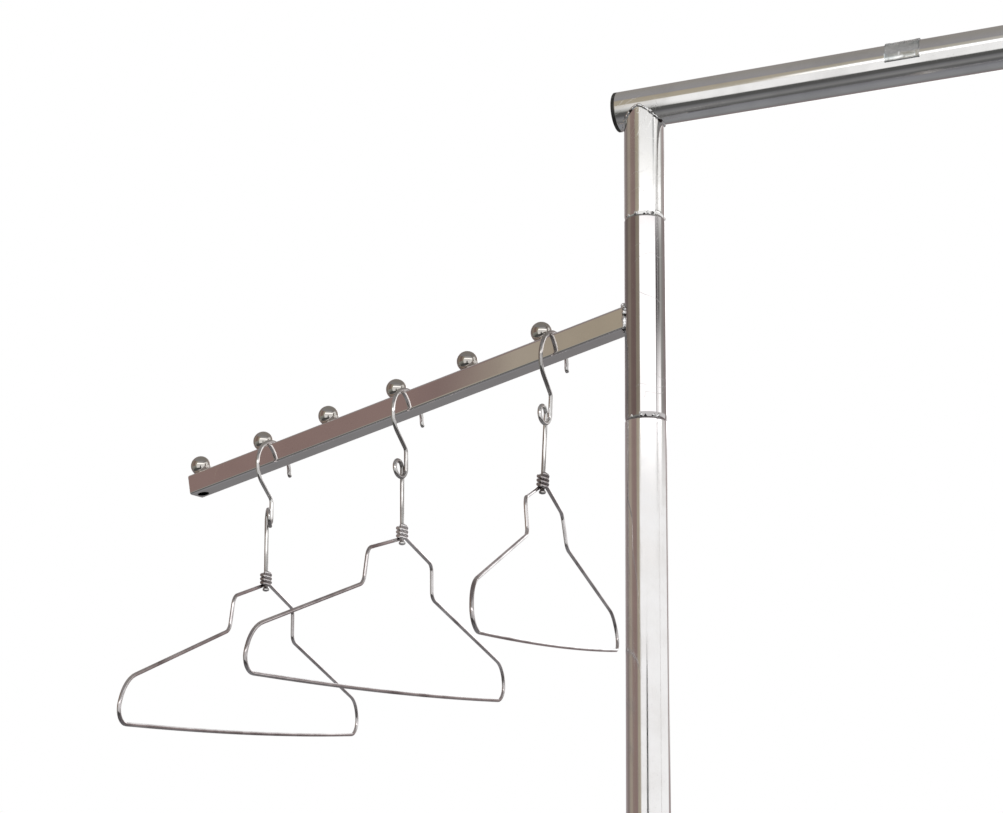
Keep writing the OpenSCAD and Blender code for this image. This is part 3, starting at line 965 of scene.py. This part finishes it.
def hook_wire(k):
    """The whole hook: flared tip, round part, slant, bend, small loop, stem and headed end."""
    round_steps, loop_steps, flare_steps = 72, 56, 10
    leave_turn = math.atan2(-HOOK_BEND_DROP, STEM_ASIDE)
    leave_turn += math.acos(HOOK_R / math.hypot(STEM_ASIDE, HOOK_BEND_DROP))
    leave = (HOOK_R * math.cos(leave_turn), HOOK_R * math.sin(leave_turn))
    flare = (-HOOK_R - HOOK_FLARE_R, 0)
    path, radii = [], []
    for back, radius in rounded_end(1.2 * MM, HOOK_WIRE_R):
        a = -HOOK_FLARE + back / HOOK_FLARE_R
        path.append(Vector((0, flare[0] + HOOK_FLARE_R * math.cos(a), HOOK_FLARE_R * math.sin(a))))
        radii.append(radius)
    tip = -HOOK_FLARE + 1.3 * MM / HOOK_FLARE_R
    flat = arc_points(flare, HOOK_FLARE_R, tip, 0, flare_steps)[:-1]
    flat += arc_points((0, 0), HOOK_R, math.pi, leave_turn, round_steps)
    slant = [(*leave, 0), (STEM_ASIDE, -HOOK_BEND_DROP, HOOK_BEND_R), (STEM_ASIDE, -LOOP_DROP, 0)]
    flat += fillet(slant, steps=10, closed=False)[1:-1]
    path += [Vector((0, y, z)) for y, z in flat]
    radii += [HOOK_WIRE_R] * len(flat)
    turn = LOOP_TURN[k]
    for i in range(loop_steps + 1):
        a = 2 * math.pi * i / loop_steps
        out = LOOP_R * (1 - math.cos(a))
        down = Vector((0, -STEM_ASIDE, LOOP_DROP + LOOP_R * math.sin(a)))
        aside = Vector((-math.sin(turn), math.cos(turn), 0)) * out
        path.append(aside + stem_step(k) * i / loop_steps - down)
        radii.append(HOOK_WIRE_R)
    stem = (
        (LOOP_DROP + 8 * MM, HOOK_WIRE_R),
        (STEM_LOW - 0.6 * MM, HOOK_WIRE_R),
        (STEM_LOW, HOOK_WIRE_R + 0.25 * MM),
        (STEM_LOW + 0.45 * MM, HEAD_R * 0.9),
        (STEM_LOW + 1.1 * MM, HEAD_R),
        (STEM_LOW + 1.9 * MM, HEAD_R),
        (STEM_LOW + 2.6 * MM, HEAD_R * 0.8),
        (STEM_LOW + HEAD_H, HEAD_R * 0.4),
    )
    for down, radius in stem:
        path.append(stem_at(k) - Vector((0, 0, down)))
        radii.append(radius)
    return moved(swept(path, radii), on_hook(k))


def half_outline():
    """Half of the hanger's frame as (across, up): shoulder, neck, slope, rounded end and bar."""
    slope_end = (FRAME_HALF - 7.5 * MM, -88.7 * MM)
    bar_end = (FRAME_HALF + 2 * MM, -FRAME_DROP)
    bar_start = FRAME_HALF - 45 * MM
    bar_steps = 16
    bar = []
    for i in range(bar_steps, -1, -1):
        h = bar_start * i / bar_steps
        bar.append((h, -FRAME_DROP - BAR_SAG * (1 - (h / FRAME_HALF) ** 2)))
    corners = [(0, 0, 0), (*NECK_TOP, 9 * MM), (*NECK_FOOT, 9 * MM), (*slope_end, 26 * MM)]
    corners += [(*bar_end, 12 * MM), (*bar[0], 0)]
    rounded = fillet(corners, steps=9, closed=False)
    return rounded[1:] + bar[1:]


def half_frame(k, side):
    """Half of the frame in space, tilted and leaning from its peak."""
    lean = Matrix.Rotation(FRAME_LEAN[k], 3, "Y") @ Matrix.Rotation(-FRAME_TILT[k], 3, "X")
    points = []
    for h, v in half_outline():
        off = 0 if v < -FRAME_DROP / 2 else COIL_R * max(0, 1 - h / NECK_TOP[0])
        points.append(lean @ Vector((side * off, side * h, v)))
    return points


def coil_end(side):
    """One end of the frame's wire, wound down round the hook's stem."""
    steps = 64
    points = []
    for i in range(steps + 1):
        left = COIL_TURNS * (1 - i / steps)
        a = -2 * math.pi * left
        x, y = side * COIL_R * math.cos(a), side * COIL_R * math.sin(a)
        points.append(Vector((x, y, COIL_PITCH * left)))
    return points


def hanger_wire(k):
    near = coil_end(1) + half_frame(k, 1)
    far = coil_end(-1) + half_frame(k, -1)
    path = near + far[-2::-1]
    radii = [FRAME_WIRE_R] * len(path)
    for i, share in enumerate((0.55, 0.85)):
        radii[i] *= share
        radii[-1 - i] *= share
    place = on_hook(k) @ Matrix.Translation(stem_at(k) - Vector((0, 0, HOOK_DROP)))
    return moved(swept(path, radii), place @ Matrix.Rotation(FRAME_TURN[k], 4, "Z"))


for k in range(3):
    hook, hanger = f"hook_{k + 1}", f"hanger_{k + 1}"
    build(hook + "_wire", *hook_wire(k), hook_finish, hook, [hook], "hook_wire")
    build(hanger + "_wire", *hanger_wire(k), wire_finish, hanger, [hanger], "frame_wire")

# ---------- base ----------

BOLT_R = 4 * MM
BOLT_HOLE_R = BOLT_R + 0.25 * MM
BOLT_HEAD_R = 7 * MM
BOLT_HEAD_H = 4.5 * MM
GLIDE_R = 13 * MM
GLIDE_INSET = 24 * MM


def foot_tube(x, y_low, y_high):
    return moved(straight_tube(tube_r, bore_r, y_high - y_low), at(x, y_low, foot_z) @ ALONG_Y)


def cross_drill(x):
    length = 3 * tube_r
    outline = [(0, -length), (BOLT_HOLE_R, -length), (BOLT_HOLE_R, length), (0, length)]
    return moved(revolved(outline, 40, closed=False), at(x, 0, foot_z) @ ALONG_X)


def glide():
    """A moulded glide: rounded foot, a waist groove, and a saddle under the tube."""

    def saddle(angle, radius):
        return foot_z - tube_rise(radius * math.cos(angle))

    side = fillet(
        [
            (0, 0.4 * MM, 0),
            (GLIDE_R - 5 * MM, 0, 0.5 * MM),
            (GLIDE_R, 0, 2.2 * MM),
            (GLIDE_R, 5 * MM, 0.4 * MM),
            (GLIDE_R - 0.8 * MM, 5.8 * MM, 0.4 * MM),
            (GLIDE_R - 0.8 * MM, 7.2 * MM, 0.4 * MM),
            (GLIDE_R, 8 * MM, 0.4 * MM),
            (GLIDE_R, 12 * MM, 0),
        ],
        closed=False,
    )[:-1]
    top = [(GLIDE_R * (1 - i / 8), saddle) for i in range(9)]
    return revolved(side + top, 72, closed=False)


def bottom_rail_tube():
    """The bottom rail, coped at both ends to the feet."""
    low, high = span("bottom_rail", 2)
    outer = (high - low) / 2
    inner = outer - wall
    segments = 96
    rows = []
    for radius, sign in ((inner, -1), (outer, -1), (outer, 1), (inner, 1)):
        row = []
        for y, z, _ in ring(radius, 0, segments):
            back = tube_rise(z)
            if z > 0:
                back = max(back, tube_rise(y) + 0.1 * MM)
            x = left_x + back if sign < 0 else right_x - back
            row.append((x, y, foot_z + z))
        rows.append(row)
    return grid(rows, True)


def bolt(x, out):
    """A domed bolt with a hexagon socket, its shank reaching into the bottom rail's plug."""
    length = 2 * tube_r + 26 * MM
    socket_r, socket_deep = 2.9 * MM, 2.4 * MM
    corners = [
        (0, -length, 0),
        (BOLT_R, -length, 0.5 * MM),
        (BOLT_R, 0, 0),
        (BOLT_HEAD_R, 0, 0.3 * MM),
        (BOLT_HEAD_R, BOLT_HEAD_H * 0.5, 0.8 * MM),
        (BOLT_HEAD_R * 0.7, BOLT_HEAD_H, 1.0 * MM),
        (socket_r + 0.3 * MM, BOLT_HEAD_H, 0.2 * MM),
    ]
    outline = fillet(corners, closed=False)[:-1]
    segments = 72
    rows = [ring(r, h, segments) for r, h in outline + [(socket_r + 0.3 * MM, BOLT_HEAD_H)]]
    hexagon = []
    for i in range(segments):
        a = 2 * math.pi * i / segments
        flat = (a % (math.pi / 3)) - math.pi / 6
        r = socket_r * math.cos(math.pi / 6) / math.cos(flat)
        hexagon.append((r * math.cos(a), r * math.sin(a)))
    rows.append([(px, py, BOLT_HEAD_H - 0.15 * MM) for px, py in hexagon])
    rows.append([(px, py, BOLT_HEAD_H - socket_deep) for px, py in hexagon])
    rows.append([(0, 0, BOLT_HEAD_H - socket_deep)] * segments)
    turn = ALONG_X if out > 0 else ALONG_X @ FLIP
    return moved(grid(rows, False), at(x + out * tube_r, 0, foot_z) @ turn)


for side, x in (("left", left_x), ("right", right_x)):
    stub, foot = f"base_stub_{side}", f"foot_{side}"
    tube = moved(base_stub(span(stub, 2)[1]), at(x, 0, 0))
    build(stub + "_tube", *tube, tube_finish, "stand", [stub], "tube_chrome")
    bead = saddle_bead(x, foot_z, 1, False, FOOT_BEAD_SEED[side])
    build(f"base_weld_{side}", *bead, weld_finish, "stand", slot="tube_chrome")
    y_low, y_high = span(foot, 1)
    tube = foot_tube(x, y_low, y_high)
    piece = build(foot + "_tube", *tube, tube_finish, "stand", [foot], "tube_chrome")
    cut(piece, cross_drill(x))
    caps = joined(
        [
            moved(end_cap(), at(x, y_high, foot_z) @ ALONG_Y),
            moved(end_cap(), at(x, y_low, foot_z) @ ALONG_Y @ FLIP),
        ]
    )
    node = f"foot_caps_{side}"
    build(node + "_moulded", *caps, black_finish, "stand", [node], "black_plastic")
    y_end = y_high + CAP_FLANGE - GLIDE_INSET
    glides = joined([moved(glide(), at(x, y, 0)) for y in (-y_end, y_end)])
    node = f"foot_glides_{side}"
    build(node + "_moulded", *glides, black_finish, "stand", [node], "black_plastic")

build("bottom_rail_tube", *bottom_rail_tube(), rail_finish, "stand", ["bottom_rail"], "tube_chrome")
bolts = joined([bolt(left_x, -1), bolt(right_x, 1)])
build("bottom_rail_bolts_domed", *bolts, zinc_finish, "stand", ["bottom_rail_bolts"], "plug_steel")

# The plugs inside the tubes keep their CAD shape
for name, node in frame["nodes"].items():
    if not node.hide_render:
        node.data.materials.clear()
        node.data.materials.append(zinc_finish)

# ---------- studio ----------

FLOOR_R = 3.4
FLOOR_STEPS = 6


def floor_material():
    """Pale matt floor with faint mottling, which fades out round its rim."""
    material, n = new_material("studio_floor")
    here = n.add("ShaderNodeTexCoord").outputs["Object"]
    mottle = n.noise(here, 6, detail=4)
    base = n.mix(mottle, 0.8, 0.84)
    roughness = n.ramp(mottle, 0.3, 0.7, 0.55, 0.75)
    matt = n.add("ShaderNodeBsdfPrincipled", Base_Color=base, Roughness=roughness)
    matt.inputs["Specular IOR Level"].default_value = 0.2
    clear = n.add("ShaderNodeBsdfTransparent")
    distance = n.add("ShaderNodeVectorMath", {"operation": "LENGTH"}, i0=here).outputs["Value"]
    fade = n.ramp(distance, FLOOR_R * 0.45, FLOOR_R * 0.98)
    shown = n.add("ShaderNodeMixShader", i0=fade, i1=matt.outputs[0], i2=clear.outputs[0])
    n.add("ShaderNodeOutputMaterial", Surface=shown.outputs[0])
    return material


rows = [ring(FLOOR_R * i / FLOOR_STEPS, 0, 96) for i in range(FLOOR_STEPS + 1)]
floor = build("studio_floor", *grid(rows, False), floor_material(), None)
floor.visible_glossy = False
floor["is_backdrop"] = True

# What stands at the camera shows in the lower post and in the balls
CAMERA = Vector((left_x + 379.554 * MM, -1112.239 * MM, rail_z - 543.798 * MM))


def dark_cloth():
    material, n = new_material("camera_cloth")
    here = n.add("ShaderNodeTexCoord").outputs["Object"]
    folds = n.noise(n.stretched(here, (1, 1, 0.2)), 12, detail=2)
    surface(n, Base_Color=n.mix(folds, 0.015, 0.04), Roughness=0.9)
    return material


figure = fillet(
    [
        (0, 0, 0),
        (0.2, 0, 0.02),
        (0.2, 1.1, 0.06),
        (0.09, 1.2, 0.04),
        (0.1, 1.4, 0.08),
        (0, 1.46, 0),
    ],
    closed=False,
)
draped = moved(revolved(figure, 48, closed=False), at(CAMERA.x + 0.02, CAMERA.y - 0.26, 0))
cloth = build("camera_stand", *draped, dark_cloth(), None)
cloth.visible_camera = False
cloth.visible_diffuse = False
cloth.visible_shadow = False
cloth.visible_transmission = False
cloth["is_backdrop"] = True


PANE_EDGE = 2.0


def studio_world():
    """White to the camera. To the chrome it is a room with windows, walls, ceiling and floor.

    Angles are in degrees: azimuth from -Y towards +X, and height above the horizon.
    """
    world = bpy.data.worlds.new("studio")
    world.use_nodes = True
    n = Nodes(world.node_tree)
    way = n.add("ShaderNodeTexCoord").outputs["Generated"]
    split = n.add("ShaderNodeSeparateXYZ", Vector=way).outputs
    azimuth = n.math("DEGREES", n.math("ARCTAN2", split[0], n.math("MULTIPLY", split[1], -1)))
    height = n.math("DEGREES", n.math("ARCSINE", split[2]))
    around = n.math("ADD", n.math("DIVIDE", azimuth, 360), 0.5)
    wall_stops = (
        (-179, "#9a9090"),
        (-128, "#9f9596"),
        (-110, "#7e736f"),
        (-98, "#7e736f"),
        (-88, "#958b7f"),
        (-72, "#9c9084"),
        (-66, "#8a7a72"),
        (-50, "#86726d"),
        (-38, "#86736e"),
        (-36.2, "#7b6a67"),
        (-33.6, "#a39b8d"),
        (-31, "#9e9584"),
        (-20, "#a59c8b"),
        (-9, "#ada799"),
        (-2, "#b6b6b6"),
        (66, "#b6b6b6"),
        (70, "#9a9c9e"),
        (76, "#5b5759"),
        (90, "#5f5c5c"),
        (103, "#8f8e8b"),
        (113, "#c8c9c4"),
        (124, "#aaa9a5"),
        (142, "#a79d9b"),
        (166, "#998b8a"),
        (179, "#9a9090"),
    )
    walls = n.colours(around, [((a + 180) / 360, c) for a, c in wall_stops])
    upwards = n.math("ADD", n.math("DIVIDE", height, 180), 0.5)
    front_stops = (
        (-90, "#606064"),
        (-76, "#5e5e5e"),
        (-66, "#808080"),
        (-56, "#727274"),
        (-46, "#525252"),
        (-30, "#525250"),
        (-22, "#82837e"),
        (-4, "#9b9c97"),
        (36, "#88878c"),
        (50, "#929091"),
        (90, "#8f8c87"),
    )
    back_stops = (
        (-90, "#68686c"),
        (-70, "#848589"),
        (-45, "#87888a"),
        (-27, "#7c7c7d"),
        (-8, "#817575"),
        (36, "#918c89"),
        (90, "#8f8c87"),
    )
    front = n.colours(upwards, [((h + 90) / 180, c) for h, c in front_stops])
    back = n.colours(upwards, [((h + 90) / 180, c) for h, c in back_stops])
    behind = n.ramp(split[1], -0.05, 0.05)
    room = n.mix(behind, front, back)
    wall_band = n.math("MULTIPLY", n.ramp(height, -6, -1), n.ramp(height, 36, 46, 1, 0))
    lit = n.mix(wall_band, room, walls)

    def between(angle, start, stop):
        rise = n.ramp(angle, start - PANE_EDGE, start + PANE_EDGE)
        fall = n.ramp(angle, stop - PANE_EDGE, stop + PANE_EDGE, 1, 0)
        return n.math("MULTIPLY", rise, fall)

    def window(left, right, low, high):
        return n.math("MULTIPLY", between(azimuth, left, right), between(height, low, high))

    bright_strip = n.math("MULTIPLY", n.ramp(height, 12.6, 13.6), n.ramp(height, 21.5, 23, 1, 0))
    glare = n.math("ADD", n.math("MULTIPLY", bright_strip, 1.1), 0.9)
    panes = (
        window(-12, 66, 22, 26),
        window(-12, 79, 12.5, 22),
        window(-18, 80, -29, 12.5),
        window(-2, 150, -6, 12.5),
        window(84, 112, 11, 16),
        window(74, 125, 21.5, 36),
    )
    rear_panes = (window(168, 200, 2, 34), window(-200, -152, 2, 34))
    shine = panes[0]
    for pane in panes[1:] + rear_panes:
        shine = n.math("MAXIMUM", shine, pane)
    white = n.add("ShaderNodeCombineColor", i0=glare, i1=glare, i2=glare).outputs[0]
    room_light = n.mix(shine, lit, white)
    path = n.add("ShaderNodeLightPath").outputs
    to_glossy = n.mix(path["Is Glossy Ray"], 0.82, room_light)
    seen = n.mix(path["Is Camera Ray"], to_glossy, 1.0)
    light = n.add("ShaderNodeBackground", Color=seen)
    n.add("ShaderNodeOutputWorld", Surface=light.outputs[0])
    bpy.context.scene.world = world


studio_world()


def soft_light(name, place, target, size, power):
    lamp = bpy.data.lights.new(name, "AREA")
    lamp.shape = "SQUARE"
    lamp.size = size
    lamp.energy = power
    light = bpy.data.objects.new(name, lamp)
    light.location = place
    light.rotation_mode = "QUATERNION"
    light.rotation_quaternion = (Vector(target) - Vector(place)).to_track_quat("-Z", "Y")
    light.visible_glossy = False
    light.visible_camera = False
    bpy.context.scene.collection.objects.link(light)


soft_light("key_light", (1.6, -2.4, 3.4), (0, 0, 0.9), 2.2, 34)
soft_light("fill_light", (-2.4, -1.2, 2.6), (0, 0, 0.9), 2.0, 14)
soft_light("back_light", (0.3, 2.4, 3.0), (0, 0, 0.9), 2.0, 14)

CAMERA_YAW = math.radians(24.215)
CAMERA_PITCH = math.radians(14.178)
CAMERA_ROLL = math.radians(0.951)
CAMERA_LENS = 56.84
camera_data = bpy.data.cameras.new("camera")
camera_data.sensor_width = 36
camera_data.lens = CAMERA_LENS
camera_data.clip_start = 0.01
camera_data.clip_end = 100
camera = bpy.data.objects.new("camera", camera_data)
camera.matrix_world = (
    Matrix.Translation(CAMERA)
    @ Matrix.Rotation(CAMERA_YAW, 4, "Z")
    @ Matrix.Rotation(math.pi / 2 + CAMERA_PITCH, 4, "X")
    @ Matrix.Rotation(CAMERA_ROLL, 4, "Z")
)
bpy.context.scene.collection.objects.link(camera)
bpy.context.scene.camera = camera
bpy.context.scene.view_settings.view_transform = "Standard"

low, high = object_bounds()
